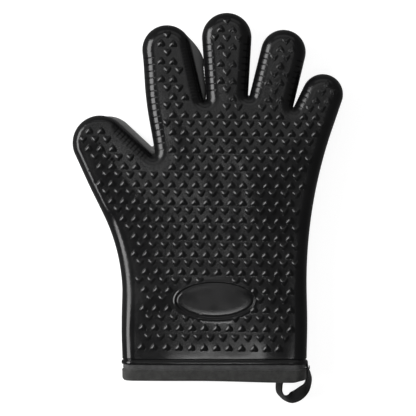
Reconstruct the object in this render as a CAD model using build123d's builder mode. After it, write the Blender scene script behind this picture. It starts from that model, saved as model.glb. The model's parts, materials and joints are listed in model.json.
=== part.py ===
from build123d import *

import os
from math import cos, radians, sin, tan
from typing import NamedTuple

# Silicone oven and grill glove with a sewn fabric lining, lying flat with one face up.
# +Y runs from the cuff to the fingertips, +Z is the glove's thickness, and the thumb is at -X.
# The origin is under the middle of the glove, on the surface that it lies on. Millimetres and degrees.

# ---- Driving dimensions -------------------------------------------------------------------------

thickness = 28.0  # over the moulded studs of both faces
edge_radius = 11.0  # rounding of each face down to the parting line
parting_height = thickness / 2

left_side = -62.9  # straight sides of the cuff and lower palm
right_side = 72.5
left_flare_radius = 135.0  # long curve from the cuff out to the thumb
right_flare_radius = 300.0  # long curve from the cuff out to the little finger

shell_wall = 2.0
shell_end = -114.4  # mouth of the silicone shell
lip_width = 3.3  # plain bead along the mouth
groove_width = 0.9
groove_depth = 0.8

plate_centre = (5.1, -67.3)  # blank oval plate on the upper face
plate_length = 59.0
plate_width = 28.7
plate_depth = 1.2
plate_rim_width = 1.5
plate_rim_height = 0.8

layer_gap = 0.1  # between the shell, the lining and the cuff's layers
lining_wall = 1.2
facing_wall = 0.7
binding_wall = 0.6
hem_end = -128.2
binding_start = -118.0
facing_inset = 1.25
binding_inset = 0.6

stitch_length = 2.2
stitch_width = 0.45
stitch_height = 0.35
stitch_pitch = 3.2
stitch_line = binding_start - 1.2

knuckle_gap = 0.4  # slit between the segments of a finger
finger_clearance = 0.3  # a finger's segments are cut out this far beyond its own edges

tape_thickness = 1.6
tape_width = 5.0
tape_gap = 0.4
loop_hinge_line = hem_end - tape_gap - tape_thickness / 2


class Finger(NamedTuple):
    """One finger: its round tip, the lean of its two edges from +Y towards +X, and its two knuckles.

    A knuckle's place is measured along the finger from the centre of the round tip."""

    name: str
    tip: tuple
    radius: float
    left_lean: float
    right_lean: float
    base_knuckle: float
    tip_knuckle: float


fingers = [
    Finger("thumb", (-77.4, 48.0), 21.8, -25.4, -47.0, -19.0, -1.0),
    Finger("index", (-30.0, 116.7), 18.0, -7.0, -12.8, -35.0, -11.0),
    Finger("middle", (13.7, 125.7), 17.8, -4.2, 3.4, -39.0, -13.0),
    Finger("ring", (55.4, 114.5), 16.4, 14.0, 13.6, -33.0, -10.0),
    Finger("little", (84.3, 83.5), 14.9, 26.0, 19.0, -14.5, 0.5),
]
crotch_radii = [1.2, 0.9, 0.4, 0.5]  # between neighbouring fingers, from the thumb on

# ---- The glove's outline ------------------------------------------------------------------------


def left_normal(lean):
    """Outward normal of an edge with the glove on its right."""
    return Vector(-cos(radians(lean)), sin(radians(lean)))


def right_normal(lean):
    """Outward normal of an edge with the glove on its left."""
    return Vector(cos(radians(lean)), -sin(radians(lean)))


def valley(first, second, radius):
    """Inward corner that touches two edges from outside, as (centre, signed radius, both normals).

    An edge is its outward normal and its distance from the origin along that normal."""
    (a, a_reach), (b, b_reach) = first, second
    reach = a_reach + radius, b_reach + radius
    cross = a.X * b.Y - a.Y * b.X
    centre = Vector(
        (reach[0] * b.Y - reach[1] * a.Y) / cross,
        (reach[1] * a.X - reach[0] * b.X) / cross,
    )
    return centre, -radius, a, b


def finger_corner(finger):
    """The outward round corner at a fingertip, in the same form as a valley."""
    left, right = left_normal(finger.left_lean), right_normal(finger.right_lean)
    return Vector(*finger.tip), finger.radius, left, right


def outline_corners():
    """Every rounded corner of the outline, from the left side over the fingers to the right side."""
    tips = [finger_corner(finger) for finger in fingers]
    edges = [(Vector(-1, 0), -left_side)]
    for centre, radius, left, right in tips:
        edges.append((left, centre.dot(left) + radius))
        edges.append((right, centre.dot(right) + radius))
    edges.append((Vector(1, 0), right_side))
    radii = [left_flare_radius] + crotch_radii + [right_flare_radius]
    corners = []
    for place, radius in enumerate(radii):
        corners.append(valley(edges[2 * place], edges[2 * place + 1], radius))
        corners += tips[place : place + 1]
    return corners


def draw_outline(inset, end):
    """The closed outline, moved inwards all round by inset and ended straight across at y = end."""
    here = first = Vector(left_side + inset, end)
    for centre, radius, normal_in, normal_out in outline_corners():
        start = centre + normal_in * (radius - inset)
        stop = centre + normal_out * (radius - inset)
        Line(here, start)
        TangentArc(start, stop, tangent=(normal_in.Y, -normal_in.X))
        here = stop
    last = Vector(right_side - inset, end)
    Line(here, last)
    Line(last, first)


def glove_form(inset):
    """Solid glove shape, smaller than the outer surface by inset all over, and run on past the hem."""
    with BuildPart() as form:
        with BuildSketch(Plane.XY.offset(inset)):
            with BuildLine():
                draw_outline(inset, hem_end - 2 * edge_radius)
            make_face()
        extrude(amount=thickness - 2 * inset)
        faces = form.faces().filter_by(Axis.Z)
        fillet(faces.edges(), edge_radius - inset)
    return form.part


def glove_layer(outer_inset, inner_inset, end):
    """Hollow layer between two glove shapes, open at y = end."""
    with BuildPart() as layer:
        add(glove_form(outer_inset))
        add(glove_form(inner_inset), mode=Mode.SUBTRACT)
        split(bisect_by=Plane.XZ.offset(-end), keep=Keep.BOTTOM)
    return layer.part


# ---- Cutting a layer at the knuckles ------------------------------------------------------------


def finger_plane(finger):
    """Plane at the tip's centre, its X axis towards the fingertip and its Z axis up."""
    lean = (finger.left_lean + finger.right_lean) / 2
    heading = Vector(sin(radians(lean)), cos(radians(lean)))
    return Plane(origin=(*finger.tip, 0), x_dir=heading, z_dir=(0, 0, 1))


def half_width(finger, along):
    """Half of the finger's width where its edges are straight, with the cutting clearance."""
    spread = radians(finger.left_lean - finger.right_lean) / 2
    return (finger.radius + finger_clearance) / cos(spread) - along * tan(spread)


def segment_cutter(finger, start, stop):
    """Block of full thickness that holds one finger between two places along it."""
    with BuildPart() as cutter:
        with BuildSketch(finger_plane(finger)):
            with BuildLine():
                Polyline(
                    (start, -half_width(finger, start)),
                    (stop, -half_width(finger, stop)),
                    (stop, half_width(finger, stop)),
                    (start, half_width(finger, start)),
                    close=True,
                )
            make_face()
        extrude(amount=thickness)
    return cutter.part


def save(part, label):
    """Name one finished piece and write it as its own file."""
    part.label = label
    export_step(part, f"parts/{label}.step")


def save_halves(part, front_label, back_label):
    """Part a piece along the mould's parting plane and write both halves."""
    for label, side in ((front_label, Keep.TOP), (back_label, Keep.BOTTOM)):
        with BuildPart() as half:
            add(part)
            split(bisect_by=Plane.XY.offset(parting_height), keep=side)
        save(half.part, label)


def palm_of(layer):
    """What is left of a layer once every finger is cut off at its base knuckle."""
    with BuildPart() as palm:
        add(layer)
        for finger in fingers:
            start = finger.base_knuckle - knuckle_gap / 2
            add(segment_cutter(finger, start, 2 * finger.radius), mode=Mode.SUBTRACT)
    return palm.part


def segment_of(layer, finger, start, stop):
    """The stretch of a layer between two places along one finger."""
    with BuildPart() as segment:
        add(layer)
        add(segment_cutter(finger, start, stop), mode=Mode.INTERSECT)
    return segment.part


def segments(finger):
    """Name and stretch of the finger's two moving segments."""
    half_gap = knuckle_gap / 2
    middle = finger.tip_knuckle
    yield f"{finger.name}_base", finger.base_knuckle + half_gap, middle - half_gap
    yield f"{finger.name}_tip", middle + half_gap, 2 * finger.radius


# ---- Silicone shell: palm and back, then two segments of each finger ----------------------------


def make_shell():
    shell = glove_layer(0, shell_wall, shell_end)
    groove = shell_end + lip_width
    with BuildPart() as palm:
        add(palm_of(shell))
        # groove that sets the plain lip apart from the studded field
        with BuildPart(mode=Mode.PRIVATE) as outer_skin:
            add(glove_layer(0, groove_depth, groove))
            split(bisect_by=Plane.XZ.offset(-groove - groove_width), keep=Keep.TOP)
        add(outer_skin.part, mode=Mode.SUBTRACT)
        # oval field without studs, and the raised line around the blank plate
        with BuildSketch(Plane.XY.offset(thickness)):
            with Locations(plate_centre):
                Ellipse(plate_length / 2, plate_width / 2)
        extrude(amount=-plate_depth, mode=Mode.SUBTRACT)
        with BuildSketch(Plane.XY.offset(thickness - plate_depth)):
            with Locations(plate_centre):
                Ellipse(plate_length / 2, plate_width / 2)
                Ellipse(
                    plate_length / 2 - plate_rim_width,
                    plate_width / 2 - plate_rim_width,
                    mode=Mode.SUBTRACT,
                )
        extrude(amount=plate_rim_height)
    save_halves(palm.part, "palm_front_shell", "palm_back_shell")
    for finger in fingers:
        for name, start, stop in segments(finger):
            segment = segment_of(shell, finger, start, stop)
            save_halves(segment, f"{name}_front_shell", f"{name}_back_shell")


# ---- Fabric lining, sewn up like the shell and run through to the hem ---------------------------


def make_lining():
    outside = shell_wall + layer_gap
    lining = glove_layer(outside, outside + lining_wall, hem_end + binding_wall + layer_gap)
    save_halves(palm_of(lining), "palm_front_lining", "palm_back_lining")
    for finger in fingers:
        for name, start, stop in segments(finger):
            save(segment_of(lining, finger, start, stop), f"{name}_lining")


# ---- Cuff: facing strip, binding tape over the raw edge, its stitching --------------------------


def make_cuff():
    with BuildPart() as cuff_facing:
        add(glove_layer(facing_inset, facing_inset + facing_wall, hem_end + binding_wall + layer_gap))
        split(bisect_by=Plane.XZ.offset(-shell_end + layer_gap), keep=Keep.TOP)
    save(cuff_facing.part, "cuff_facing")

    inner_inset = shell_wall + lining_wall + 2 * layer_gap
    with BuildPart() as binding_tape:
        add(glove_layer(binding_inset, inner_inset + binding_wall, hem_end))
        add(
            glove_layer(binding_inset + binding_wall, inner_inset, hem_end + binding_wall),
            mode=Mode.SUBTRACT,
        )
        split(bisect_by=Plane.XZ.offset(-binding_start), keep=Keep.TOP)
    save(binding_tape.part, "binding_tape")

    flat_width = right_side - left_side - 2 * edge_radius
    stitch_count = int(flat_width / stitch_pitch)
    middle = (left_side + right_side) / 2
    with BuildPart() as binding_stitches:
        for level in (binding_inset - stitch_height, thickness - binding_inset):
            with BuildSketch(Plane.XY.offset(level)):
                with Locations((middle, stitch_line)):
                    with GridLocations(stitch_pitch, 1, stitch_count, 1):
                        SlotOverall(stitch_length, stitch_width)
            extrude(amount=stitch_height)
    save(binding_stitches.part, "binding_stitches")


# ---- Hanging loop: a tape sewn to the cuff's side, swinging at the hem --------------------------

loop_left = 52.6
loop_right = 74.9
tail_foot = 72.8  # the tape's centre line where it lies against the cuff
tail_top = shell_end - 1.2
tail_bend = -120.5
bartack_size = 0.5
bartack_count = 3


def make_loop():
    with BuildPart() as hanging_loop:
        with BuildSketch(Plane.XY.offset(parting_height - tape_thickness / 2)):
            with BuildLine():
                right_leg = Line((loop_right, loop_hinge_line), (loop_right - 0.6, -132.0))
                right_bend = TangentArc(right_leg @ 1, (67.6, -140.2), tangent=right_leg % 1)
                bottom = TangentArc(right_bend @ 1, (57.2, -138.6), tangent=right_bend % 1)
                left_bend = TangentArc(bottom @ 1, (loop_left, -133.0), tangent=bottom % 1)
                Line(left_bend @ 1, (loop_left, loop_hinge_line))
            trace(line_width=tape_width)
        extrude(amount=tape_thickness)
        # the tape rolls about the hinge line where it leaves the hem
        with BuildSketch(Plane.YZ.offset(loop_left - tape_width / 2)):
            with Locations((loop_hinge_line, parting_height)):
                Circle(tape_thickness / 2)
        extrude(amount=tape_width)
        with BuildSketch(Plane.YZ.offset(loop_right - tape_width / 2)):
            with Locations((loop_hinge_line, parting_height)):
                Circle(tape_thickness / 2)
        extrude(amount=tape_width)
    save(hanging_loop.part, "hanging_loop")

    with BuildPart() as loop_tail:
        with BuildSketch(Plane.XY.offset(parting_height - tape_width / 2)):
            with BuildLine():
                FilletPolyline(
                    (tail_foot, tail_top),
                    (tail_foot, tail_bend),
                    (loop_right, tail_bend - 5.0),
                    (loop_right, hem_end - tape_gap / 2),
                    radius=3.0,
                )
            trace(line_width=tape_thickness)
        extrude(amount=tape_width)
    save(loop_tail.part, "loop_tail")

    with BuildPart() as loop_bartack:
        with BuildSketch(Plane.YZ.offset(tail_foot + tape_thickness / 2 + layer_gap / 2)):
            with Locations((tail_top - bartack_count * bartack_size, parting_height)):
                with GridLocations(2 * bartack_size, 1, bartack_count, 1):
                    Rectangle(bartack_size, tape_width - 2 * bartack_size)
        extrude(amount=bartack_size)
    save(loop_bartack.part, "loop_bartack")


def main():
    os.makedirs("parts", exist_ok=True)
    make_shell()
    make_lining()
    make_cuff()
    make_loop()


if __name__ == "__main__":
    main()
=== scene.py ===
import json
import math

import bpy
import numpy as np
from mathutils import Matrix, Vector, kdtree
from mathutils.geometry import delaunay_2d_cdt


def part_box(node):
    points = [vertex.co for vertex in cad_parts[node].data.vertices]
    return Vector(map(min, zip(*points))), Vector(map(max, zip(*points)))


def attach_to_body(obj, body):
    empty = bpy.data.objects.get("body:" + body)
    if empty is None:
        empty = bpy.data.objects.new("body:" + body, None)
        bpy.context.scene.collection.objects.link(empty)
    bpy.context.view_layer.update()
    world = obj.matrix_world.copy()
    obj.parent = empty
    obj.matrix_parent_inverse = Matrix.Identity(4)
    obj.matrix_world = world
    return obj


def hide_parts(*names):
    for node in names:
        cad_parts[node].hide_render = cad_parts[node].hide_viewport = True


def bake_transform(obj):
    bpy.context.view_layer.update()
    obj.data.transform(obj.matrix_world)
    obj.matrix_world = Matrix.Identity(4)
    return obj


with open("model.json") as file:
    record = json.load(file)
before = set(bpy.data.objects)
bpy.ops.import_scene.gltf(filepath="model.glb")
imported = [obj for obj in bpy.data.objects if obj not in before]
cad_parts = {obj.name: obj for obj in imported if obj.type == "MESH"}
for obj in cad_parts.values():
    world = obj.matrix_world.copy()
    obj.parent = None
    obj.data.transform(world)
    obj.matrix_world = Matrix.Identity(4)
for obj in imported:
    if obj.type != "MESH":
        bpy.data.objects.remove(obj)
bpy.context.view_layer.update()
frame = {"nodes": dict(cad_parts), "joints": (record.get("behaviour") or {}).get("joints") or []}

# Lengths below are in millimetres, angles in radians unless a name says degrees.
MM = 0.001

# ---- Sizes of the moulded surface ----

CROTCH_RADII = (1.2, 1.2, 0.6, 0.35)  # between neighbouring fingers, from the thumb on
LEFT_FLARE, RIGHT_FLARE = 135.0, 345.0  # long curves from the cuff out to the outer fingers
RIM_HEIGHT = 9.8  # how far the rounding lifts each face above the side's upright part
RIM_WALL = 1.8  # upright part of the side, above and below the parting line
CROWN, CROWN_REACH = 1.1, 16.0  # how much the palm's middle stands above its rim, and how far in it rises
FLASH = 0.08  # parting line's ridge

STUD_HEIGHT = 1.5
STUD_WIDTH = 5.7
STUD_LENGTH = 5.8
FIRST_ROW = -101.8
ROW_STEP, ROW_STEP_ADDED = 6.36, 0.8  # the second is what the rows' distance gains near the cuff
COLUMN_STEP, COLUMN_STEP_ADDED = 8.68, 0.42  # the same for the columns
MIDDLE_COLUMN, MIDDLE_DRIFT = 6.2, 0.0175  # the middle column's place, and its drift to the right per mm up
ROW_SLOPE, ROW_SLOPE_ADDED = -0.014, -0.0006  # the rows' tilt, and what it gains per mm above the knuckles
SLOPE_FROM = 60.0  # height from which the tilt grows
# The studs of the last three fingers stand out less: where that starts (x, y), over what distance it grows,
# and the share of the height that goes.
FLATTER_FROM, FLATTER_OVER, FLATTER_BY = (4, 62), (14, 18), 0.5
STUD_CLEAR = 0.61  # room that a stud needs on all sides, as a share of its width

RIB_GROOVE = 0.85
RIB_DEPTH = 0.75
RIB_FADE = 3.0  # over this distance the ribs run out at both ends of an edge
RIB_LAND = 0.06  # how far the land between the grooves stands out, as a share of their depth
FULL_RIB_PITCH = 4.8  # ribs that stand closer are shallower

PLATE_HALF = (29.3, 13.8)  # half axes of the oval plate, to the middle of its raised line

LINING_INSET = 2.3
LINING_END = 4.5  # how far the lining's lower edge stays above the hem
LINING_BORDER = 6.0

# steps between the samples of an edge, a corner and the surface, for the shell and for the plainer lining
EDGE_STEPS, CORNER_STEPS, GRID_STEPS = (1.3, 4.0), (0.9, 3.5), (2.4, 4.0)
RIM_STEP, MOUTH_STEP = 1.2, 2.0
STUD_POINTS, PLATE_POINTS = 18, 220  # round each ring of a stud and each line of the plate
# room between the surface's loose points and the border strip, a stud (a share of its width) and the plate's
# lines, outside and inside
BORDER_CLEAR, STUD_POINT_CLEAR, PLATE_CLEAR = 0.7, 0.68, (0.8, 0.5)

HEM_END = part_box("binding_tape")[0].y / MM
FINGER_NAMES = ("thumb", "index", "middle", "ring", "little")
JOINTS = {joint["name"]: joint for joint in frame["joints"]}
MID_HEIGHT = JOINTS["loop_swing"]["pos_m"][2] / MM  # the parting plane

# For each edge of the outline, from the left side round to the right: its name, the ribs' pitch (0 where it
# is plain), how wide the plain or ribbed border is, how near to the edge the centre of a stud may come, how
# wide the rounding is, and how far the edge bows outwards.
EDGES = (
    ("left_rim", 0, 6.0, 12.2, 9.8, 0.6),
    ("thumb_outer", 0, 4.2, 8.0, 6.4, 0.3),
    ("thumb_inner", 3.3, 8.2, 12.0, 9.2, 0.0),
    ("index_left", 4.86, 8.2, 11.0, 9.8, 1.4),
    ("index_right", 2.4, 8.2, 10.4, 9.8, 0.0),
    ("middle_left", 4.8, 6.8, 8.6, 9.6, 0.0),
    ("middle_right", 4.8, 6.4, 8.3, 9.6, 0.0),
    ("ring_left", 4.3, 6.8, 8.8, 9.6, 0.0),
    ("ring_right", 4.3, 6.4, 8.6, 9.6, 0.0),
    ("little_left", 4.0, 6.0, 8.6, 9.6, 0.0),
    ("little_outer", 0, 5.0, 8.6, 9.0, 0.0),
    ("right_rim", 0, 6.0, 12.2, 9.8, 0.5),
)
# the same border and stud distance round the fingertips, and the stud distance at the crotches
TIP_BORDER, TIP_MARGIN = 2.6, 6.5
THUMB_TIP_BORDER, THUMB_TIP_MARGIN = 4.2, 7.6
CROTCH_MARGINS = (14.0, 8.8, 8.8, 8.8)

# How far a fingertip's middle lies from the CAD's (x, y), and how much larger its radius is.
TIP_NUDGES = {
    "thumb": (-1.9, -0.2, -1.6),
    "index": (-0.2, -0.5, 0.1),
    "middle": (0.1, -0.5, 0.35),
}

# The thumb and the index finger lie rolled a little, so that their back halves show on the right.
THUMB_BACK_SHIFT = (4.5, -4.0)  # across and along the thumb
THUMB_LEDGE = 5.2  # width of the shelf that covers the step between the thumb's halves
INDEX_BACK_LEAN = (2.1, -3.0)  # across and, at the tip only, along the finger, for each unit of depth
LEAN_DEPTH = 6.5  # below this depth the lean hardly grows

# Where a finger's pieces part, and where its last bend stops, as shares of the way from the base knuckle to
# the middle knuckle.
BASE_SPLIT, TIP_SPLIT, LAST_BEND = -0.30, 0.50, 1.50
SPLIT_OVER_CROTCH = 1.0
BASE_GAP, TIP_GAP = 1.2, 0.8  # between the cut at a knuckle and the stretch that bends

# ---- Reading the fingers and the outline from the frame ----


def node_points(name):
    mesh = frame["nodes"][name].data
    points = np.zeros(len(mesh.vertices) * 3)
    mesh.vertices.foreach_get("co", points)
    return points.reshape(-1, 3) / MM


class Finger:
    """A finger's place, read from its two joints and its front shell's segments.

    Places along it are measured from the base knuckle towards the tip."""

    def __init__(self, name):
        self.name = name
        base, tip = JOINTS[f"{name}_base_bend"], JOINTS[f"{name}_tip_bend"]
        self.across = np.array(base["axis"][:2])
        self.heading = np.array([-self.across[1], self.across[0]])
        self.origin = np.array(base["pos_m"][:2]) / MM
        self.reach = (np.array(tip["pos_m"][:2]) / MM - self.origin) @ self.heading

        base_cut, base_width = self.cut_width(f"{name}_base_front_shell")
        tip_cut, tip_width = self.cut_width(f"{name}_tip_front_shell")
        end = self.local(node_points(f"{name}_tip_front_shell"))[0].max()
        slope = (base_width - tip_width) / (tip_cut - base_cut)
        self.spread = math.atan(slope)
        self.radius = (tip_width - (end - tip_cut) * slope) / (1 / math.cos(self.spread) - slope)
        self.centre = end - self.radius

    def part_pieces(self, crotches):
        """Sets where the visible pieces part, and the stretch about each knuckle that a bend would cover."""
        highest = max(self.local(crotch)[0] for crotch in crotches)
        self.base_split = max(BASE_SPLIT * self.reach, highest + SPLIT_OVER_CROTCH)
        self.tip_split = TIP_SPLIT * self.reach
        self.base_bend = (self.base_split + BASE_GAP, self.tip_split - TIP_GAP)
        self.tip_bend = (self.tip_split + TIP_GAP, LAST_BEND * self.reach)

    def local(self, points):
        offset = points[..., :2] - self.origin
        return offset @ self.heading, offset @ self.across

    def cut_width(self, node):
        along, aside = self.local(node_points(node))
        at_cut = along < along.min() + 0.01
        return along.min(), np.abs(aside[at_cut]).max()

    def place(self, along):
        return self.origin + self.heading * along

    def half_width(self, along):
        return self.radius / math.cos(self.spread) - (along - self.centre) * math.tan(self.spread)

    def edge_normals(self):
        """Outward normals of the left and right edges."""
        turn, lift = math.cos(self.spread), math.sin(self.spread)
        return self.heading * lift - self.across * turn, self.heading * lift + self.across * turn


fingers = [Finger(name) for name in FINGER_NAMES]
palm_points = node_points("palm_front_shell")
SHELL_END = palm_points[:, 1].min()
mouth_points = palm_points[palm_points[:, 1] < SHELL_END + 0.01]
LEFT_SIDE, RIGHT_SIDE = mouth_points[:, 0].min(), mouth_points[:, 0].max()


def valley(first, second, radius):
    """Inward corner that touches two edges from outside: (centre, signed radius, both normals)."""
    normals = np.array([first[0], second[0]])
    centre = np.linalg.solve(normals, np.array([first[1], second[1]]) + radius)
    return centre, -radius, first[0], second[0]


def outline_corners(front):
    edges = [(np.array([-1.0, 0.0]), -LEFT_SIDE)]
    tips = []
    for finger in fingers:
        nudge = TIP_NUDGES.get(finger.name, (0, 0, 0))
        centre, radius = finger.place(finger.centre) + nudge[:2], finger.radius + nudge[2]
        if finger.name == "thumb" and not front:
            centre = centre + finger.across * THUMB_BACK_SHIFT[0] + finger.heading * THUMB_BACK_SHIFT[1]
        left, right = finger.edge_normals()
        tips.append((centre, radius, left, right))
        edges += [(left, centre @ left + radius), (right, centre @ right + radius)]
    edges.append((np.array([1.0, 0.0]), RIGHT_SIDE))
    corners = []
    for place, radius in enumerate((LEFT_FLARE, *CROTCH_RADII, RIGHT_FLARE)):
        corners.append(valley(edges[2 * place], edges[2 * place + 1], radius))
        corners += tips[place : place + 1]
    return corners


CORNERS = {front: outline_corners(front) for front in (True, False)}
crotches = [corner[0] for corner in CORNERS[False][2:-1:2]]
for place, finger in enumerate(fingers):
    finger.part_pieces(crotches[max(place - 1, 0) : place + 1])


def smooth_step(x):
    x = np.clip(x, 0, 1)
    return x * x * (3 - 2 * x)


def run_along(points):
    """Distance of each point from the first one, measured along the line."""
    return np.append(0, np.cumsum(np.linalg.norm(np.diff(points, axis=0), axis=1)))


def smoothed(values, width):
    """Evenly spaced values, smoothed over a number of them."""
    kernel = np.hanning(width)
    padded = np.pad(values, width // 2, mode="edge")
    return np.convolve(padded, kernel / kernel.sum(), mode="valid")


def rib_stations(length, pitch):
    """Places along a ribbed edge: close together at each groove, wider on the land between."""
    half = RIB_GROOVE / 2
    land = np.linspace(half * 1.3, pitch - half * 1.3, 5)
    pattern = np.concatenate([[0, half * 0.5, half], land, [pitch - half, pitch - half * 0.5]])
    places = (np.arange(int(length / pitch) + 1)[:, None] * pitch + pattern).ravel()
    return places[places < length - 0.15]


def groove_at(distance, pitch):
    """Depth of the rib grooves, from 0 to 1, at a distance from the first groove."""
    off = np.abs((distance + pitch / 2) % pitch - pitch / 2)
    groove = np.cos(np.clip(off / RIB_GROOVE, 0, 0.5) * math.pi) ** 1.3
    land = -RIB_LAND * np.cos(np.clip((pitch / 2 - off) / (pitch / 2 - RIB_GROOVE / 2), 0, 1) * math.pi / 2)
    return (groove + land) * min(1, pitch / FULL_RIB_PITCH) ** 1.5


def edge_samples(place, here, stop, detail):
    """Samples along one straight or slightly bowed edge."""
    name, pitch, border, margin, rim, bow = EDGES[place]
    length = np.linalg.norm(stop - here)
    direction = (stop - here) / length
    normal = np.array([-direction[1], direction[0]])
    # the first groove is at the fingertip's end of the edge
    downwards = direction[1] < 0
    ribbed = detail and pitch > 0
    if ribbed:
        stations = rib_stations(length, pitch)
        places = stations if downwards else length - stations
    else:
        places = np.arange(0, length - 0.3, EDGE_STEPS[not detail])
    if name in ("left_rim", "right_rim"):
        mouth = np.abs(MOUTH_ROWS - (here if name == "left_rim" else stop)[1])
        mouth = mouth if name == "left_rim" else length - mouth
        plain = places > mouth.max() if name == "left_rim" else places < mouth.min()
        places = np.append(places[plain], mouth)
    places = np.unique(np.append(places, 0).round(6))
    if place == len(EDGES) - 1:
        places = np.append(places, length)
    from_tip = places if downwards else length - places
    depths = groove_at(from_tip, pitch) if ribbed else np.zeros(len(places))
    rows = []
    for x, depth in zip(places, depths):
        fade = np.clip(min(x, length - x) / RIB_FADE, 0, 1)
        out = bow * math.sin(math.pi * x / length) ** 2
        tilt = -bow * math.sin(2 * math.pi * x / length) * math.pi / length
        facing = normal + direction * tilt
        facing /= np.linalg.norm(facing)
        point = here + direction * x + normal * out
        rows.append((*point, *facing, border, margin, rim, depth * fade, False))
    return rows


def corner_samples(place, corner, detail):
    """Samples round a fingertip or a crotch."""
    centre, radius, normal_in, normal_out = corner
    _, _, border, margin, rim, _ = EDGES[place]
    turn = math.atan2(normal_in[0] * normal_out[1] - normal_in[1] * normal_out[0], normal_in @ normal_out)
    if radius > 0:
        turn -= 2 * math.pi * (turn > 0)
        border, margin = (THUMB_TIP_BORDER, THUMB_TIP_MARGIN) if place == 1 else (TIP_BORDER, TIP_MARGIN)
    elif 0 < place < len(EDGES) - 2:
        margin = CROTCH_MARGINS[place // 2 - 1]
    steps = max(int(abs(radius * turn) / CORNER_STEPS[not detail]), 14 if detail else 8)
    in_crotch = -5 < radius < 0  # the two long flares have larger radii
    rows = []
    for angle in turn * np.arange(steps) / steps:
        cos, sin = math.cos(angle), math.sin(angle)
        spun = np.array([normal_in[0] * cos - normal_in[1] * sin, normal_in[0] * sin + normal_in[1] * cos])
        rows.append((*(centre + spun * radius), *spun, border, margin, rim, 0, in_crotch))
    return rows


def sample_outline(front, end, detail):
    """Along the outline: points, outward normals, border widths, stud margins, rim widths, rib depths, and
    whether each sample is in a crotch."""
    rows = []
    here = np.array([LEFT_SIDE, end])
    for place, corner in enumerate(CORNERS[front]):
        centre, radius, normal_in, normal_out = corner
        rows += edge_samples(place, here, centre + normal_in * radius, detail)
        rows += corner_samples(place, corner, detail)
        here = centre + normal_out * radius
    rows += edge_samples(len(EDGES) - 1, here, np.array([RIGHT_SIDE, end]), detail)
    rows = np.array(rows)
    points, normals, border, margin, rim, ribs, crotch = rows[:, :2], rows[:, 2:4], *rows[:, 4:].T
    border, rim = spread_along(points, border, 5.0), spread_along(points, rim, 8.0)
    return points, normals, border, margin, rim, ribs, crotch > 0


def spread_along(points, values, reach):
    """Values smoothed along the outline, so that a border narrows gradually."""
    run = run_along(points)
    even = np.arange(0, run[-1], 0.5)
    return np.interp(run, even, smoothed(np.interp(even, run, values), int(4 * reach) + 1))


# ---- Height of the moulded surface over the glove's plan ----

# the groove and the bead along the shell's mouth: distance from its edge, and height above the plain surface
LIP = (
    (4.6, 0.0), (4.1, -0.1), (3.8, -0.55), (3.3, -0.75), (2.9, -0.3), (2.6, 0.35),
    (1.9, 0.6), (1.0, 0.6), (0.4, 0.4), (0.1, 0.05), (0.0, -0.25),
)
MOUTH_ROWS = np.array([SHELL_END + place for place, _ in LIP])


def lip_height(y):
    places, heights = zip(*reversed(LIP))
    return np.interp(y - SHELL_END, places, heights)


def face_height(depth, rim, lift=RIM_HEIGHT):
    """Height above the parting plane at a distance inside the outline, and the surface's levelness there."""
    share = np.clip(1 - depth / rim, 0, 1)
    rise = np.sqrt(1 - share**2)
    crown = CROWN * (1 - np.exp(-((np.clip(depth - rim, 0, None) / CROWN_REACH) ** 2)))
    return RIM_WALL + lift * rise + crown, rise


# waves of the soft palm: height, distance per radian across and along, and phase
WAVES = ((0.22, -40.0, 16.0, 2.2), (0.06, 5.5, 9.0, 0.0))
# folds of the soft palm: middle (x, y), half widths across and along, and slope of the side that faces left
FOLDS = ((20, 4, 14, 34, 0.07), (3, -46, 12, 16, 0.06), (30, -94, 18, 22, 0.03), (-14, 62, 22, 26, 0.03))


def ripple(points):
    """Slow waves and folds of the soft palm, in millimetres."""
    x, y = points[:, 0], points[:, 1]
    height = np.zeros(len(points))
    for size, across, along, phase in WAVES:
        height += size * np.sin(x / across + y / along + phase)
    for middle_x, middle_y, wide, long, slope in FOLDS:
        off = ((x - middle_x) / wide) ** 2 + ((y - middle_y) / long) ** 4
        height += slope * (x - middle_x) * np.exp(-off)
    return height


def stud_ring(share, count):
    """Points about a stud's middle at a share of its size: a heart with its point at +Y, rounder inside."""
    t = np.arange(count) / count * 2 * math.pi
    x = np.sin(t) ** 3
    y = -(0.80 * np.cos(t) - 0.27 * np.cos(2 * t) - 0.10 * np.cos(3 * t) - 0.04 * np.cos(4 * t))
    y -= (y.max() + y.min()) / 2
    heart = np.stack([x * STUD_WIDTH, y * STUD_LENGTH * 2 / (y.max() - y.min())], 1) / 2
    drop = np.stack([np.sin(t) + 0.15 * np.sin(2 * t), -np.cos(t) + 0.15 * np.cos(2 * t) - 0.08], 1)
    drop = drop * (STUD_WIDTH * 0.46, STUD_LENGTH * 0.46)
    roundness = 0.4 + 0.6 * smooth_step((1.04 - share) / 0.35)
    return (heart * (1 - roundness) + drop * roundness) * share


# a stud's section, from its foot to its top: share of its size, and share of its height
STUD_SECTION = (
    (1.20, 0.0), (1.08, 0.0), (1.03, 0.04), (0.98, 0.16), (0.90, 0.32),
    (0.80, 0.43), (0.62, 0.61), (0.42, 0.81), (0.24, 0.94), (0.0, 1.0),
)
# the plate's section: distance outside the middle of its raised line, and height
PLATE_SECTION = (
    (1.6, 0.0), (1.1, 0.12), (0.65, 0.45), (0.25, 0.65), (-0.1, 0.62), (-0.45, 0.25),
    (-0.85, -0.35), (-1.2, -0.6), (-1.6, -0.55), (-2.2, -0.12), (-3.5, 0.0), (-7.0, 0.02),
)


def smooth_section(section, step=0.01, reach=9):
    """A section's height at any place across it, with its corners rounded."""
    places, heights = zip(*sorted(section))
    fine = np.arange(places[0] - 20 * step, places[-1] + 20 * step, step)
    rounded = smoothed(np.interp(fine, places, heights), 2 * reach + 1)
    return lambda x: np.interp(x, fine, rounded)


stud_profile = smooth_section(STUD_SECTION[:-1] + ((0.0, 1.0), (-0.24, 0.94)))
plate_profile = smooth_section(PLATE_SECTION, 0.05, 5)


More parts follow.
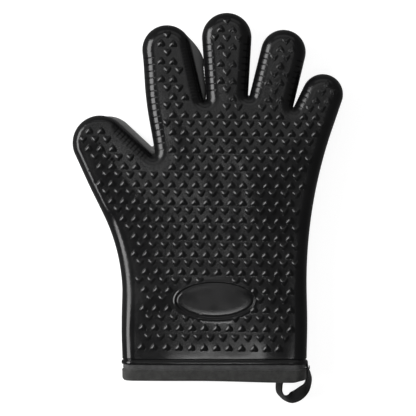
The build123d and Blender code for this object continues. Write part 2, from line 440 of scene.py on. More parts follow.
def search_tree(points):
    tree = kdtree.KDTree(len(points))
    for place, (x, y) in enumerate(points):
        tree.insert((x, y, 0), place)
    tree.balance()
    return tree


def stud_height(points, studs):
    """Height that the studs add at some points."""
    if not studs:
        return np.zeros(len(points))
    tree = search_tree([stud[:2] for stud in studs])
    nearest = np.array([tree.find((x, y, 0))[1] for x, y in points])
    studs = np.array(studs)[nearest]
    off = (points - studs[:, :2]) * studs[:, 2:3]
    away, angles = np.linalg.norm(off, axis=1), np.arctan2(off[:, 1], off[:, 0])
    shares = np.full(len(points), 2.0)
    outer_reach, outer_share = None, 0.0
    for share, _ in STUD_SECTION[:-1]:
        ring = stud_ring(share, 360)
        ring_angles = np.arctan2(ring[:, 1], ring[:, 0])
        ring_reach = np.linalg.norm(ring, axis=1)
        order = np.argsort(ring_angles)
        reach = np.interp(angles, ring_angles[order], ring_reach[order], period=2 * math.pi)
        if outer_reach is not None:
            within = (away <= outer_reach) & (away > reach)
            mix = (outer_reach - away) / np.maximum(outer_reach - reach, 1e-6)
            shares = np.where(within, outer_share + (share - outer_share) * mix, shares)
        outer_reach, outer_share = reach, share
    shares = np.where(away <= outer_reach, outer_share * away / outer_reach, shares)
    flatter = np.prod(smooth_step((studs[:, :2] - FLATTER_FROM) / FLATTER_OVER), axis=1)
    return STUD_HEIGHT * (1 - FLATTER_BY * flatter) * stud_profile(shares) * (shares < 1.5)


def plate_middle():
    """Centre of the oval field in the palm's front shell, which lies a little below the studs' tops."""
    below = palm_points[:, 2].max() - palm_points[:, 2]
    x, y = palm_points[:, 0], palm_points[:, 1]
    inner = (below > 0.2) & (below < 1.3) & (x > LEFT_SIDE + 25) & (x < RIGHT_SIDE - 25)
    field = palm_points[inner & (y > SHELL_END + 20) & (y < SHELL_END + 75)]
    return (field[:, :2].max(0) + field[:, :2].min(0)) / 2


PLATE_CENTRE = plate_middle()


def plate_offset(points):
    """Distance outside the plate's raised line, negative inside it and exact near it."""
    off, half = points - PLATE_CENTRE, np.array(PLATE_HALF)
    ratio = np.linalg.norm(off / half, axis=1)
    return (ratio - 1) * ratio / np.maximum(np.linalg.norm(off / half**2, axis=1), 1e-6)


class Outline:
    """The sampled outline with a search tree over it."""

    def __init__(self, front, end, detail):
        own = sample_outline(front, end, detail)
        self.points, self.normals, self.border, _, self.rim, self.ribs, _ = own
        fine = sample_outline(front, end, True)
        self.fine, self.fine_normals, self.borders, self.margins, self.rims, _, self.crotch = fine
        self.tree = search_tree(self.fine)

    def depth(self, points):
        """Distance inside the outline, and the nearest sample's number."""
        nearest = np.array([self.tree.find((x, y, 0))[1] for x, y in points], int)
        straight = np.linalg.norm(self.fine[nearest] - points, axis=1)
        square = np.sum((self.fine[nearest] - points) * self.fine_normals[nearest], axis=1)
        return np.where(self.crotch[nearest], straight, square), nearest


# ---- Where the studs stand ----


def stud_places(outline, with_plate):
    """Every stud as (x, y, way): hearts in rows whose points face up and down the glove in turn."""
    highest = outline.fine[:, 1].max()
    wanted = []
    y, row = FIRST_ROW, 0
    while y < highest + 4:
        # the studs' distances grow below the palm's middle and are full near the mouth
        column_step = COLUMN_STEP + COLUMN_STEP_ADDED * np.clip((-35 - y) / 65, 0, 1)
        row_step = ROW_STEP + ROW_STEP_ADDED * np.clip((-38 - y) / 60, 0, 1)
        middle = MIDDLE_COLUMN + MIDDLE_DRIFT * (min(y, 80) - FIRST_ROW)
        slope = ROW_SLOPE + ROW_SLOPE_ADDED * max(y - SLOPE_FROM, 0)
        odd = row % 2
        for column in range(-13, 12):
            x = middle + (column + 0.5 * odd) * column_step
            wanted.append((x, y + slope * (x - 5), -1 if odd else 1))
        y += row_step - 0.05 * (y > SLOPE_FROM)
        row += 1
    points = np.array([place[:2] for place in wanted])
    away, numbers = outline.depth(points)
    inside = np.sum((outline.fine[numbers] - points) * outline.fine_normals[numbers], axis=1) > 0
    kept = inside & (away > outline.margins[numbers])
    kept &= away > outline.borders[numbers] + STUD_WIDTH * STUD_CLEAR
    if with_plate:
        kept &= plate_offset(points) > 0.4
    return [place for place, keep in zip(wanted, kept) if keep]


# ---- Building one face of a glove-shaped surface ----


def lean_back(points):
    """The index finger's back half leans to the right of its front half."""
    finger = fingers[1]
    along, aside = finger.local(points)
    over_crotch = along - finger.base_split
    share = np.clip(over_crotch / (finger.centre - finger.base_split), 0, 1)
    # half of the lean comes in round the crotch, the rest grows towards the tip
    grown = 0.5 * smooth_step((over_crotch + 14) / 20) + 0.5 * share
    # above the crotch only the finger leans, below it the lean fades out into the palm on either side
    fade = 1.0 + 9.0 * smooth_step(-over_crotch / 12)
    own = smooth_step((finger.half_width(along) + CROTCH_RADII[1] + 0.5 * fade - np.abs(aside)) / fade)
    to_tip = smooth_step((along - finger.tip_split - 4) / (finger.centre - finger.tip_split - 4))
    depth = LEAN_DEPTH * (1 - np.exp(-np.clip(MID_HEIGHT - points[:, 2], 0, None) / LEAN_DEPTH))
    across, down = INDEX_BACK_LEAN
    way = finger.across * across + np.outer(to_tip, finger.heading * down)
    leant = points.copy()
    leant[:, :2] += way * (grown * own * depth)[:, None]
    return leant


def triangles_inside(boundary, extra, edges):
    """Triangulates the plan inside a closed boundary. Returns points, triangles and, for each boundary
    point, its number among the returned points."""
    points = np.concatenate([boundary, extra]) if len(extra) else boundary
    ring = list(range(len(boundary)))
    found = delaunay_2d_cdt([Vector(p) for p in points], edges, [ring], 1, 1e-5)
    plan, _, triangles, sources = found[0], found[1], found[2], found[3]
    place_of = {}
    for number, origins in enumerate(sources):
        for origin in origins:
            place_of[origin] = number
    return np.array([tuple(p) for p in plan]), [tuple(t) for t in triangles], [place_of[i] for i in ring]


def point_rows(low, high, step, heights, stagger=0.0):
    """Points in rows across a rectangle. Every other row is moved aside."""
    rows = []
    for number, y in enumerate(heights):
        x = np.arange(low[0] + number % 2 * stagger, high[0], step)
        rows.append(np.column_stack([x, np.full(len(x), y)]))
    return np.concatenate(rows)


def cap_points(outline, ring, studs, detail, with_plate):
    """Points and edges that shape the triangles inside the border: studs, plate, rings and a loose grid."""
    extra, edges = [], []
    total = len(ring)

    def add_loose(points):
        nonlocal total
        if len(points):
            extra.append(points)
            total += len(points)

    def add_loop(points):
        count = len(points)
        edges.extend((total + place, total + (place + 1) % count) for place in range(count))
        add_loose(points)

    for x, y, way in studs:
        for share, _ in STUD_SECTION[:-1]:
            add_loop(stud_ring(share, STUD_POINTS) * way + (x, y))
        add_loose(np.array([[x, y]]))
    if with_plate:
        t = np.arange(PLATE_POINTS) / PLATE_POINTS * 2 * math.pi
        turn = np.column_stack([np.cos(t), np.sin(t)])
        for offset, _ in PLATE_SECTION:
            add_loop(PLATE_CENTRE + turn * (np.array(PLATE_HALF) + offset))
    step = GRID_STEPS[not detail]
    low, high = ring.min(0), ring.max(0)
    # rows at 0.87 of the step give nearly equal-sided triangles
    grid = point_rows(low, high, step, np.arange(low[1] + step / 2, high[1], step * 0.87), step / 2)
    near_rim = np.zeros((0, 2))
    if detail:
        near_rim = point_rows(low, high, RIM_STEP, np.arange(low[1] + RIM_STEP / 2, high[1], RIM_STEP))
    pool = np.concatenate([grid, near_rim])
    depth, nearest = outline.depth(pool)
    inside = depth > outline.borders[nearest] + BORDER_CLEAR
    # the finer points lie along the rounding, the others inside it
    is_fine = np.arange(len(pool)) >= len(grid)
    rim = outline.rims[nearest]
    inside &= ~is_fine | (depth < rim + RIM_STEP)
    inside &= is_fine | (depth > rim + 1.0) | (not detail)
    if detail:
        inside &= pool[:, 1] > MOUTH_ROWS[0] + 0.8
    pool = pool[inside]
    if studs:
        tree = search_tree([stud[:2] for stud in studs])
        clear = np.array([tree.find((x, y, 0))[2] > STUD_WIDTH * STUD_POINT_CLEAR for x, y in pool])
        pool = pool[clear]
    if with_plate:
        off = plate_offset(pool)
        outside, middle = PLATE_SECTION[0][0] + PLATE_CLEAR[0], PLATE_SECTION[-1][0] - PLATE_CLEAR[1]
        pool = pool[(off > outside) | (off < middle)]
    add_loose(pool)
    if detail:
        add_loose(point_rows(low + 1.0, high - 0.8, MOUTH_STEP, MOUTH_ROWS[:-1]))
    return np.concatenate(extra) if extra else np.zeros((0, 2)), edges


# The shelf beside the thumb, from its inner edge to the outline: places as shares of its width, and how far
# its two ridges rise there.
LEDGE_RIDGES = (
    (1.0, 0.0), (0.72, 0.0), (0.62, 0.25), (0.52, 0.0), (0.34, 0.0), (0.24, 0.25), (0.14, 0.0),
)


def border_columns(outline, border, rim, lift, front, detail):
    """Columns of the border strip, from the parting line up over the rounding: for each sample of the
    outline the distance outwards, the height, and the angle that the surface has turned upwards."""
    none = np.zeros(len(border))
    columns = []
    if detail and not front:
        ledge = spread_along(outline.points, ledge_width(outline.points), 6.0)
        columns += [(-ledge * share, none + 0.02 - ridge, none) for share, ridge in LEDGE_RIDGES]
    if detail:
        columns += [(none + FLASH, none, none), (none, none + 0.3, none)]
    else:
        columns.append((none, none, none))
    arc_end = np.arccos(1 - np.minimum(border / rim, 0.97))
    arc_steps = 13 if detail else 5
    for step in range(arc_steps + 1):
        angle = arc_end * step / arc_steps
        facing = np.arctan2(rim * np.sin(angle), lift * np.cos(angle))
        fade = smooth_step((angle - 0.20) / 0.22) * smooth_step((arc_end - angle) / 0.16)
        groove = outline.ribs * fade * RIB_DEPTH
        out = -rim * (1 - np.cos(angle)) - groove * np.cos(facing)
        up = RIM_WALL + lift * np.sin(angle) - groove * np.sin(facing)
        columns.append((out, up, facing))
    return columns


def normals_over(plan, height_at, nudge=0.02):
    """Upward normals of a surface that is given by its height over the plan."""
    slope_x, slope_y = (
        (height_at(plan + step) - height_at(plan - step)) / (2 * nudge) for step in ((nudge, 0), (0, nudge))
    )
    normals = np.column_stack([-slope_x, -slope_y, np.ones(len(plan))])
    return normals / np.linalg.norm(normals, axis=1, keepdims=True)


def glove_face(front, inset=0.0, end=SHELL_END, detail=True):
    """One face of the glove as points, faces, vertex normals and the part of the glove for each face."""
    outline = Outline(front, end, detail)
    count = len(outline.points)
    studs = stud_places(outline, front) if detail else []
    rim, lift = outline.rim - inset, RIM_HEIGHT - inset
    border = outline.border if detail else np.full(count, LINING_BORDER)
    columns = border_columns(outline, border, rim, lift, front, detail)
    lip = lip_height(outline.points[:, 1]) if detail else np.zeros(count)
    strip = []
    for out, up, angle in columns:
        plan = outline.points + outline.normals * (out - inset + lip * np.cos(angle))[:, None]
        strip.append(np.column_stack([plan, up + lip * np.sin(angle)]))
    strip = np.array(strip)
    rows = len(strip)

    # the plan inside the strip
    ring = outline.points + outline.normals * (columns[-1][0] - inset)[:, None]
    splits = split_columns(outline.points)
    extra, edges = cap_points(outline, ring, studs, detail, front and detail)
    plan, triangles, ring_place = triangles_inside(ring, extra, edges + list(splits.values()))

    def cap_height(plan):
        depth, nearest = outline.depth(plan)
        depth = depth - inset
        height, level = face_height(depth, outline.rims[nearest] - inset, lift)
        if not detail:
            return height
        bumps = stud_height(plan, studs)
        if front:
            off = plate_offset(plan)
            plate = plate_profile(off)
            bumps = np.where(off > 0.3, np.maximum(bumps, plate), plate)
            # the rim, the mouth and the plate stay even
            soft = smooth_step((depth - 7) / 14) * smooth_step((plan[:, 1] - SHELL_END) / 18)
            height = height + ripple(plan) * soft * smooth_step((off + 3) / 14)
        return height + bumps + lip_height(plan[:, 1]) * level

    cap = np.column_stack([plan, cap_height(plan)])
    cap_normals = normals_over(plan, cap_height)

    # one list of points: the strip without its last row, then the plan inside it
    base = (rows - 1) * count
    cap[ring_place] = strip[-1]
    points = np.concatenate([strip[:-1].reshape(-1, 3), cap])
    last = [base + place for place in ring_place]

    def number(row, column):
        return row * count + column if row < rows - 1 else last[column]

    faces, regions = [], []
    strip_regions = ["palm"] * (count - 1)
    for (name, which), (left, right) in splits.items():
        strip_regions[left:right] = [f"{name}_{which}"] * (right - left)
    for row in range(rows - 1):
        for column in range(count - 1):
            low = (number(row, column), number(row, column + 1))
            faces.append((*low, number(row + 1, column + 1), number(row + 1, column)))
            regions.append(strip_regions[column])
    centres = cap[np.array(triangles)].mean(1)
    cap_regions = regions_of(centres[:, :2], ring, splits)
    faces += [tuple(base + place for place in reversed(triangle)) for triangle in triangles]
    regions += list(cap_regions)

    points[:, 2] += MID_HEIGHT
    upright = points
    if front:
        faces = [tuple(reversed(face)) for face in faces]
    else:
        points[:, 2] = 2 * MID_HEIGHT - points[:, 2]
        cap_normals[:, 2] *= -1
        points = lean_back(upright)
    normals = vertex_normals(points, faces)
    if detail:
        exact = np.linalg.norm(points - upright, axis=1)[base:] < 0.01
        exact[ring_place] = False
        exact &= plan[:, 1] > MOUTH_ROWS[0] + 0.5
        normals[base:][exact] = cap_normals[exact]
    return points, faces, normals, regions


def split_columns(points):
    """For each finger and knuckle, the samples of the outline at which its pieces part, on both sides."""
    splits = {}
    for finger in fingers:
        along, _ = finger.local(points)
        end = finger.place(finger.centre + finger.radius)
        tip = int(np.argmin(np.linalg.norm(points - end, axis=1)))
        for which, split in (("base", finger.base_split), ("tip", finger.tip_split)):
            below = np.flatnonzero(along < split)
            left, right = below[below < tip].max(), below[below > tip].min()
            splits[finger.name, which] = (int(left), int(right))
    return splits


def inside_polygon(points, polygon):
    inside = np.zeros(len(points), bool)
    for (x1, y1), (x2, y2) in zip(polygon, np.roll(polygon, -1, axis=0)):
        if y1 == y2:
            continue
        crosses = (points[:, 1] < y1) != (points[:, 1] < y2)
        inside ^= crosses & (points[:, 0] < x1 + (points[:, 1] - y1) * (x2 - x1) / (y2 - y1))
    return inside


def regions_of(centres, ring, splits):
    names = np.full(len(centres), "palm", dtype=object)
    for (name, which), (left, right) in splits.items():
        names[inside_polygon(centres, ring[left : right + 1])] = f"{name}_{which}"
    return names


def ledge_width(points):
    """How far a shelf reaches in under the front half, beside the thumb's inner edge."""
    thumb = fingers[0]
    along, aside = thumb.local(points)
    beside = (aside > 0) & (along > -9) & (along < thumb.centre + thumb.radius) & (aside < 40)
    return np.where(beside, THUMB_LEDGE, 0.6)


def vertex_normals(points, faces):
    normals = np.zeros_like(points)
    for size in (3, 4):
        group = np.array([face for face in faces if len(face) == size])
        if not len(group):
            continue
        a, b, c = points[group[:, 0]], points[group[:, 1]], points[group[:, 2]]
        facing = np.cross(b - a, c - a) if size == 3 else np.cross(c - a, points[group[:, 3]] - b)
        for corner in range(size):
            np.add.at(normals, group[:, corner], facing)
    lengths = np.linalg.norm(normals, axis=1, keepdims=True)
    return normals / np.maximum(lengths, 1e-12)


# ---- Meshes and pieces ----


def make_mesh(name, points, faces, material, normals=None, uvs=None, faces_up=None):
    mesh = bpy.data.meshes.new(name)
    mesh.from_pydata((np.asarray(points) * MM).tolist(), [], [tuple(int(i) for i in face) for face in faces])
    mesh.polygons.foreach_set("use_smooth", [True] * len(mesh.polygons))
    if uvs is not None:
        layer = mesh.uv_layers.new(name="UVMap")
        corners = np.array([loop.vertex_index for loop in mesh.loops])
        layer.data.foreach_set("uv", np.asarray(uvs)[corners].ravel())
    mesh.validate()
    mesh.update()
    if normals is not None:
        mesh.normals_split_custom_set_from_vertices(np.asarray(normals).tolist())
    if faces_up is not None:
        mesh.attributes.new("faces_up", "FLOAT", "POINT").data.foreach_set("value", faces_up)
    mesh.materials.append(material)
    piece = bpy.data.objects.new(name, mesh)
    bpy.context.scene.collection.objects.link(piece)
    return piece


DUST_AND_SHEEN_FROM, DUST_AND_SHEEN_OVER = 0.3, 0.4  # how level the surface is where its dust and painted sheen start, and until they are full


def make_regions(surface, name_of, material):
    """Splits one face of the glove into its pieces, which keep the normals of the whole."""
    points, faces, normals, regions = surface
    pieces = {}
    regions = np.array(regions, dtype=object)
    for region in sorted(set(regions)):
        own = [faces[place] for place in np.flatnonzero(regions == region)]
        used = sorted({corner for face in own for corner in face})
        renumber = {old: new for new, old in enumerate(used)}
        own = [tuple(renumber[corner] for corner in face) for face in own]
        name, facing = name_of(region), normals[used]
        # the back's up-facing parts get a lighter grey: dust together with a painted reflection of the light
        # from above
        faces_up = smooth_step((facing[:, 2] - DUST_AND_SHEEN_FROM) / DUST_AND_SHEEN_OVER)
        pieces[region] = make_mesh(name, points[used], own, material, facing, faces_up=faces_up)
    return pieces


def stand_for(piece, slot, *nodes):
    """Hides some CAD nodes, so that the piece shows in their place. The material slot is not used."""
    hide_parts(*nodes)


def attach(pieces, slot, replaced):
    """Shows each piece in place of its CAD nodes and joins the palm's piece to its body. A finger's piece
    keeps its place: the stretch over its knuckle is worked out but not used.
    """
    for region, piece in pieces.items():
        stand_for(piece, slot, *replaced(region))
        if region == "palm":
            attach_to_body(piece, "palm")
            continue
        name, which = region.split("_")
        finger = fingers[FINGER_NAMES.index(name)]
        start, stop = finger.base_bend if which == "base" else finger.tip_bend
        ends = [(*(finger.place(along) * MM), MID_HEIGHT * MM) for along in (start, stop)]
        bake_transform(piece)


# ---- Materials ----


def add_node(tree, kind, inputs, **settings):
    """Adds a shader node and returns its outputs. An input is a value or another node's output."""
    node = tree.nodes.new(f"ShaderNode{kind}")
    for key, value in settings.items():
        setattr(node, key, value)
    for key, value in inputs.items():
        if isinstance(value, bpy.types.NodeSocket):
            tree.links.new(value, node.inputs[key])
        else:
            node.inputs[key].default_value = value
    return node.outputs


def new_material(name, color, roughness, **inputs):
    """A material with one Principled shader. Further inputs are named with _ for each space."""
    material = bpy.data.materials.new(name)
    material.use_nodes = True
    shader = material.node_tree.nodes["Principled BSDF"]
    inputs.update(Base_Color=(*color, 1), Roughness=roughness)
    for key, value in inputs.items():
        shader.inputs[key.replace("_", " ")].default_value = value
    return material, material.node_tree, shader


def noise(tree, scale, detail):
    place = add_node(tree, "TexCoord", {})["Object"]
    return add_node(tree, "TexNoise", {"Vector": place, "Scale": scale, "Detail": detail})["Fac"]


def ramp(tree, source, low, high):
    """Maps a noise to a range of values."""
    limits = {"From Min": 0.3, "From Max": 0.7, "To Min": low, "To Max": high}
    return add_node(tree, "MapRange", {"Value": source, **limits})["Result"]


def mix_color(tree, share, first, second):
    return add_node(tree, "Mix", {"Factor": share, "A": first, "B": second}, data_type="RGBA")["Result"]


def add_bump(tree, shader, height, strength, distance):
    bump = add_node(tree, "Bump", {"Height": height, "Strength": strength, "Distance": distance})
    tree.links.new(bump["Normal"], shader.inputs["Normal"])


def silicone(name, dark, light, roughness, dust_and_sheen=None):
    """Moulded silicone. Where the surface faces up while the glove lies flat, it can turn a lighter grey:
    partly dust, partly a painted reflection of the light from above.
    """
    material, tree, shader = new_material(name, dark, roughness, IOR=1.36)
    cloudy = noise(tree, 55, 4)
    tree.links.new(ramp(tree, cloudy, roughness - 0.05, roughness + 0.07), shader.inputs["Roughness"])
    color = mix_color(tree, cloudy, (*dark, 1), (*light, 1))
    if dust_and_sheen:
        upward = add_node(tree, "Attribute", {}, attribute_name="faces_up")["Fac"]
        # painted reflection and dust: up-facing surfaces are mixed towards a lighter grey
        color = mix_color(tree, upward, color, (*dust_and_sheen, 1))
    tree.links.new(color, shader.inputs["Base Color"])
    add_bump(tree, shader, noise(tree, 1900, 2), 0.12, 0.0001)
    return material


def weave(tree, threads, coordinates):
    """Height of a plain weave: warp and weft threads that pass over each other."""
    place = add_node(tree, "TexCoord", {})[coordinates]
    split = add_node(tree, "SeparateXYZ", {"Vector": place})
    waves = []
    for axis in ("X", "Y"):
        scaled = add_node(tree, "Math", {0: split[axis], 1: threads * math.pi}, operation="MULTIPLY")
        waves.append(add_node(tree, "Math", {0: scaled[0]}, operation="SINE")[0])
    return add_node(tree, "Math", {0: waves[0], 1: waves[1]}, operation="MULTIPLY")[0]


def cloth(name, dark, light, threads, coordinates="UV"):
    """Plain woven cotton, with a number of threads to each unit of its coordinates."""
    soft = {"Sheen_Weight": 0.08, "Sheen_Roughness": 0.4, "Specular_IOR_Level": 0.3}
    material, tree, shader = new_material(name, dark, 0.85, **soft)
    height = weave(tree, threads, coordinates)
    shade = add_node(tree, "Math", {0: height, 1: 0.28, 2: noise(tree, 260, 5)}, operation="MULTIPLY_ADD")[0]
    color = mix_color(tree, ramp(tree, shade, 0, 1), (*dark, 1), (*light, 1))
    tree.links.new(color, shader.inputs["Base Color"])
    add_bump(tree, shader, height, 0.6, 0.0002)
    return material


# ---- Cuff ----


def cuff_section():
    """The cuff's cross-section at its outer surface: points (x, z), normals and distance round it."""
    angles = np.linspace(0, math.pi / 2, 15)
    turn = np.column_stack([RIM_HEIGHT * (1 - np.cos(angles)), RIM_WALL + RIM_HEIGHT * np.sin(angles)])
    facing = np.column_stack([-np.cos(angles), np.sin(angles)])
    x = np.arange(LEFT_SIDE + RIM_HEIGHT + 2, RIGHT_SIDE - RIM_HEIGHT - 1, 2.0)
    top = np.column_stack([x, face_height(np.minimum(x - LEFT_SIDE, RIGHT_SIDE - x), RIM_HEIGHT)[0]])
    upper = np.concatenate([turn + (LEFT_SIDE, 0), top, (turn * (-1, 1) + (RIGHT_SIDE, 0))[::-1]])
    upper_facing = np.concatenate([facing, np.tile([0.0, 1.0], (len(x), 1)), (facing * (-1, 1))[::-1]])
    points = np.concatenate([upper, upper[::-1] * (1, -1)])
    normals = np.concatenate([upper_facing, upper_facing[::-1] * (1, -1)])
    points[:, 1] += MID_HEIGHT
    return points, normals, run_along(points)


# The hem sags towards the right, rises again at the loop, and its corners are round.
HEM_LEFT, HEM_SAG, HEM_RISE = 1.8, 1.6, 1.4
HEM_CORNER = (1.8, 0.9)  # width and height


def hem_lift(x):
    """How much higher than its lowest point the hem runs."""
    lift = HEM_LEFT - HEM_SAG * smooth_step((x + 10) / 80) + HEM_RISE * smooth_step((x - 61) / 10)
    near_side = np.clip(1 - np.minimum(x - LEFT_SIDE, RIGHT_SIDE - x) / HEM_CORNER[0], 0, 1)
    return lift + HEM_CORNER[1] * (1 - np.sqrt(1 - near_side**2))


def ring_faces(rings, count):
    """Quads between neighbouring rings, each of them a number of points."""
    faces = []
    for low in range(0, (rings - 1) * count, count):
        high = low + count
        for place in range(count):
            after = (place + 1) % count
            faces.append((low + place, low + after, high + after, high + place))
    return faces


SECTION, SECTION_NORMALS, SECTION_RUN = cuff_section()
BINDING_TOP = SHELL_END - 3.5
CLOTH_WAVES = 0.3  # height of the small waves in the cuff's cloth


def cuff_piece(name, profile, material, slot):
    """A band round the cuff. Its profile is a list of (y, distance inside the outer surface)."""
    count = len(SECTION)
    sag_from = BINDING_TOP - 0.5
    points, uvs = [], []
    for (y, inset), v in zip(profile, run_along(profile)):
        plan = SECTION - SECTION_NORMALS * inset
        wave = CLOTH_WAVES * (np.sin(SECTION_RUN / 7.3) + 0.6 * np.sin(SECTION_RUN / 3.1 + 1.0))
        wave *= smooth_step((y - HEM_END) / 6)
        wave += hem_lift(SECTION[:, 0]) * smooth_step((sag_from - y) / (sag_from - HEM_END))
        points.append(np.column_stack([plan[:, 0], y + wave, plan[:, 1]]))
        uvs.append(np.column_stack([SECTION_RUN, np.full(count, v)]))
    faces = [face[::-1] for face in ring_faces(len(profile), count)]
    piece = make_mesh(name, np.concatenate(points), faces, material, uvs=np.concatenate(uvs))
    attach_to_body(piece, "palm")
    stand_for(piece, slot, name)


THREAD_WIDTH, THREAD_HEIGHT = 0.5, 0.3
THREAD_RINGS, THREAD_SIDES = 5, 6


def stitch(centre, along, across, up, length):
    """Points of one stitch of thread: a small pointed pad that lies on the cloth."""
    points = []
    for share in np.linspace(-1, 1, THREAD_RINGS):
        size = math.sqrt(max(1 - share**2, 0.05))
        middle = centre + along * share * length / 2 + up * THREAD_HEIGHT * 0.2
        for place in range(THREAD_SIDES):
            angle = place / THREAD_SIDES * 2 * math.pi
            aside = across * math.cos(angle) * THREAD_WIDTH / 2 + up * math.sin(angle) * THREAD_HEIGHT
            points.append(middle + aside * size)
    return points


def make_stitches(name, stitches):
    own_faces = ring_faces(THREAD_RINGS, THREAD_SIDES)
    points, faces = [], []
    for one in stitches:
        faces += [tuple(corner + len(points) for corner in face) for face in own_faces]
        points += stitch(*one)
    piece = make_mesh(name, points, faces, thread_material)
    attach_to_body(piece, "palm")
    stand_for(piece, "sewing_thread", name)


# ---- Building the glove ----

# lighter grey of up-facing silicone: dust together with a painted reflection of the light from above
GREY_DUST_AND_SHEEN = (0.16, 0.16, 0.16)
silicone_materials = {
    "front": silicone("silicone_front", (0.003, 0.003, 0.0035), (0.0065, 0.0065, 0.0065), 0.19),
    "back": silicone("silicone_back", (0.024, 0.024, 0.025), (0.038, 0.038, 0.039), 0.48, GREY_DUST_AND_SHEEN),
}
lining_material = cloth("lining_cloth", (0.05, 0.05, 0.055), (0.10, 0.10, 0.105), 900, "Object")
facing_material = cloth("facing_cloth", (0.034, 0.034, 0.035), (0.066, 0.066, 0.066), 2.2)
binding_material = cloth("binding_cloth", (0.020, 0.020, 0.0195), (0.044, 0.044, 0.042), 1.9)
thread_material = cloth("sewing_thread", (0.012, 0.012, 0.012), (0.025, 0.025, 0.025), 4, "Object")
tape_material = cloth("loop_webbing", (0.005, 0.005, 0.005), (0.012, 0.012, 0.012), 1.6)

for side in ("front", "back"):
    surface = glove_face(side == "front")
    pieces = make_regions(surface, lambda region: f"{region}_{side}", silicone_materials[side])
    attach(pieces, "black_silicone", lambda region: [f"{region}_{side}_shell"])

for side in ("front", "back"):
    surface = glove_face(side == "front", LINING_INSET, HEM_END + LINING_END, False)
    pieces = make_regions(surface, lambda region: f"{region}_lining_{side}", lining_material)
    replaced = {region: [f"{region}_lining"] for region in pieces}
    replaced["palm"] = [f"palm_{side}_lining"]
    attach(pieces, "lining_cloth", replaced.get)

# Sections of the cuff's two bands: (y, distance inside the outer surface). The facing runs down from inside
# the shell, the binding down outside, round the hem and up inside.
FACING_PROFILE = (
    (SHELL_END + 4.0, 1.7), (SHELL_END + 0.5, 1.0), (SHELL_END - 0.6, 0.55), (SHELL_END - 2.3, 0.5),
    (SHELL_END - 3.1, 0.8), (SHELL_END - 4.5, 1.0), (HEM_END + 2.0, 1.2),
)
BINDING_PROFILE = (
    (BINDING_TOP - 0.1, 1.3), (BINDING_TOP, 0.5), (BINDING_TOP - 0.25, 0.0), (BINDING_TOP - 0.8, -0.3),
    (BINDING_TOP - 2.0, -0.12), (BINDING_TOP - 5.0, -0.12), (HEM_END + 2.4, -0.05), (HEM_END + 1.5, 0.05),
    (HEM_END + 0.9, 0.3), (HEM_END + 0.45, 0.7), (HEM_END + 0.2, 1.3), (HEM_END + 0.2, 2.1),
    (HEM_END + 0.6, 3.0), (HEM_END + 1.5, 3.6), (BINDING_TOP - 4.0, 3.8), (BINDING_TOP, 3.7),
    (BINDING_TOP + 0.2, 3.3),
)
cuff_piece("cuff_facing", FACING_PROFILE, facing_material, "facing_cloth")
cuff_piece("binding_tape", BINDING_PROFILE, binding_material, "binding_cloth")

STITCH_LINE = BINDING_TOP - 1.2
STITCH_STEP, STITCH_LENGTH = 3.2, 2.4
UP_THE_GLOVE = np.array([0, 1.0, 0])
stitches = []
for place in np.arange(STITCH_STEP, SECTION_RUN[-1], STITCH_STEP):
    x, z = (np.interp(place, SECTION_RUN, SECTION[:, axis]) for axis in (0, 1))
    nx, nz = (np.interp(place, SECTION_RUN, SECTION_NORMALS[:, axis]) for axis in (0, 1))
    up = np.array([nx, 0, nz]) / math.hypot(nx, nz)
    along = np.array([nz, 0, -nx]) / math.hypot(nx, nz)
    centre = np.array([x, STITCH_LINE, z]) - up * 0.02
    stitches.append((centre, along, UP_THE_GLOVE, up, STITCH_LENGTH))
make_stitches("binding_stitches", stitches)

# ---- Hanging loop ----

# The tape's middle line and its lean: (x, y, height, lean of its width above the table, in degrees).
# It starts at the cuff's right side and ends inside the hem.
LOOP_ROUTE = (
    (72.6, -112.6, 14.0, 87), (73.1, -117.5, 14.0, 84), (73.9, -121.8, 13.9, 72), (74.1, -126.0, 13.6, 60),
    (73.0, -130.2, 13.0, 50), (70.4, -134.1, 12.2, 24), (66.6, -137.6, 11.4, 6), (62.4, -139.6, 11.0, 14),
    (58.4, -140.0, 11.2, 52), (54.9, -138.6, 11.8, 72), (52.6, -135.4, 12.6, 66), (52.3, -131.2, 13.4, 62),
    (53.0, -126.5, 14.0, 62),
)
TAPE_WIDTH, TAPE_THICK = 9.2, 1.5


def smooth_route(route, per_span):
    """Catmull-Rom curve through the route's points."""
    knots = np.array(route, float)
    knots = np.concatenate([[2 * knots[0] - knots[1]], knots, [2 * knots[-1] - knots[-2]]])
    samples = []
    for place in range(1, len(knots) - 2):
        a, b, c, d = knots[place - 1 : place + 3]
        square, cube = 2 * a - 5 * b + 4 * c - d, 3 * b - a - 3 * c + d
        for t in np.arange(per_span) / per_span:
            samples.append(0.5 * (2 * b + (c - a) * t + square * t**2 + cube * t**3))
    samples.append(knots[-2])
    return np.array(samples)


def tape_section():
    """Flat tape folded double: a thin pad with a shallow channel beside each edge."""
    half, thick = TAPE_WIDTH / 2, TAPE_THICK / 2
    edge = ((0.0, 0.0), (0.15, 0.55), (0.6, 0.9), (1.2, 1.0), (1.6, 0.8), (2.0, 0.98), (half, 1.1))
    upper = [(x - half, z) for x, z in edge]
    upper += [(-x, z) for x, z in reversed(upper[:-1])]
    lower = [(x, -z) for x, z in reversed(upper[1:-1])]
    return np.array([(x, z * thick) for x, z in upper + lower])


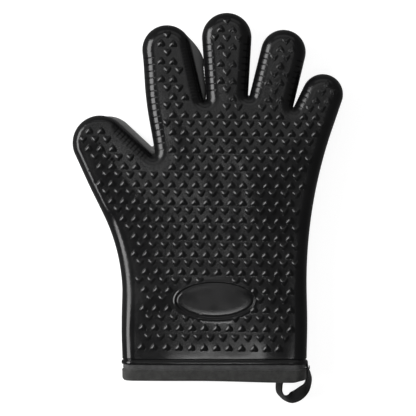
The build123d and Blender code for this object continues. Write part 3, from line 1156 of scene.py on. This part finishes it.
def make_loop():
    samples = smooth_route(LOOP_ROUTE, 10)
    line, leans = samples[:, :3], np.radians(samples[:, 3])
    section = tape_section()
    ahead = np.gradient(line, axis=0)
    ahead /= np.linalg.norm(ahead, axis=1, keepdims=True)
    run, girth = run_along(line), run_along(section)
    points, uvs = [], []
    for place, (centre, lean) in enumerate(zip(line, leans)):
        inward = np.cross(ahead[place], [0, 0, 1.0])
        inward /= np.linalg.norm(inward)
        upward = np.cross(inward, ahead[place])
        width = inward * math.cos(lean) + upward * math.sin(lean)
        face = np.cross(ahead[place], width)
        for (across, out), v in zip(section, girth):
            points.append(centre + width * across + face * out)
            uvs.append((run[place], v))
    count, total = len(section), len(points)
    faces = ring_faces(len(line), count)
    faces += [tuple(range(count)), tuple(reversed(range(total - count, total)))]
    faces = [face[::-1] for face in faces]
    piece = make_mesh("hanging_loop_tape", points, faces, tape_material, uvs=uvs)
    stand_for(piece, "loop_webbing", "hanging_loop", "loop_tail")
    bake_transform(piece)


make_loop()

tack_low, tack_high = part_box("loop_bartack")
tack_x, tack_y = tack_high.x / MM + 0.35, (tack_low.y + tack_high.y) / 2 / MM
BAR_LENGTH, BAR_STEPS = 2.6, np.linspace(-2.2, 2.2, 7)
bars = []
for step in BAR_STEPS:
    centre = np.array([tack_x, tack_y, MID_HEIGHT + step])
    bars.append((centre, UP_THE_GLOVE, np.array([0, 0, 1.0]), np.array([1.0, 0, 0]), BAR_LENGTH))
make_stitches("loop_bartack", bars)

# ---- Floor, light and camera ----

# lengths below are in metres, and the lights' energies in watts
FLOOR_HALF = 6.0
LENS, SENSOR = 150, 36  # millimetres
VIEW_WIDTH = 0.3061  # width of the camera's view at the glove's middle height
# each light's place, size and energy: all of them aim at the glove
LIGHTS = {
    "key": ((-0.76, 0.12, 0.48), (0.90, 0.50), 14.0),
    "overhead_top": ((-0.02, 0.25, 1.10), (0.60, 0.24), 0.42),
    "overhead_far": ((-0.06, 0.60, 0.95), (1.10, 0.40), 1.5),
    "overhead_middle": ((-0.035, 0.06, 1.45), (0.05, 0.24), 0.26),
    "overhead_bottom": ((0.035, -0.30, 1.10), (0.17, 0.15), 1.0),
    "low_top": ((0.10, 0.95, 0.50), (1.20, 0.40), 0.9),
}


def make_floor():
    mesh = bpy.data.meshes.new("floor")
    corners = [(x * FLOOR_HALF, y * FLOOR_HALF, 0) for x, y in ((-1, -1), (1, -1), (1, 1), (-1, 1))]
    mesh.from_pydata(corners, [], [(0, 1, 2, 3)])
    floor = bpy.data.objects.new("floor", mesh)
    bpy.context.scene.collection.objects.link(floor)
    glow = {"Emission_Color": (1, 1, 1, 1), "Emission_Strength": 0.88}
    mesh.materials.append(new_material("pale_floor", (0.30, 0.30, 0.30), 0.9, **glow)[0])
    floor.location.z = -0.0003  # just under the lowest stud
    # the glove's rim would otherwise mirror the bright floor
    floor.visible_glossy = False


def add_light(name, place, size, energy):
    data = bpy.data.lights.new(name, "AREA")
    data.shape = "RECTANGLE"
    data.size, data.size_y = size
    data.energy = energy
    light = bpy.data.objects.new(name, data)
    light.location = place
    light.rotation_euler = (-Vector(place)).to_track_quat("-Z", "Y").to_euler()
    bpy.context.scene.collection.objects.link(light)


def make_camera():
    data = bpy.data.cameras.new("camera")
    data.lens, data.sensor_width = LENS, SENSOR
    camera = bpy.data.objects.new("camera", data)
    camera.location = (0, 0, MID_HEIGHT * MM + VIEW_WIDTH * LENS / SENSOR)
    data.clip_start = 0.01
    bpy.context.scene.collection.objects.link(camera)
    bpy.context.scene.camera = camera


make_floor()
make_camera()
for name, settings in LIGHTS.items():
    add_light(name, *settings)

world = bpy.data.worlds.new("studio")
bpy.context.scene.world = world
world.use_nodes = True
background = world.node_tree.nodes["Background"]
background.inputs["Color"].default_value = (1, 1, 1, 1)
background.inputs["Strength"].default_value = 0.16
bpy.context.scene.view_settings.view_transform = "Standard"
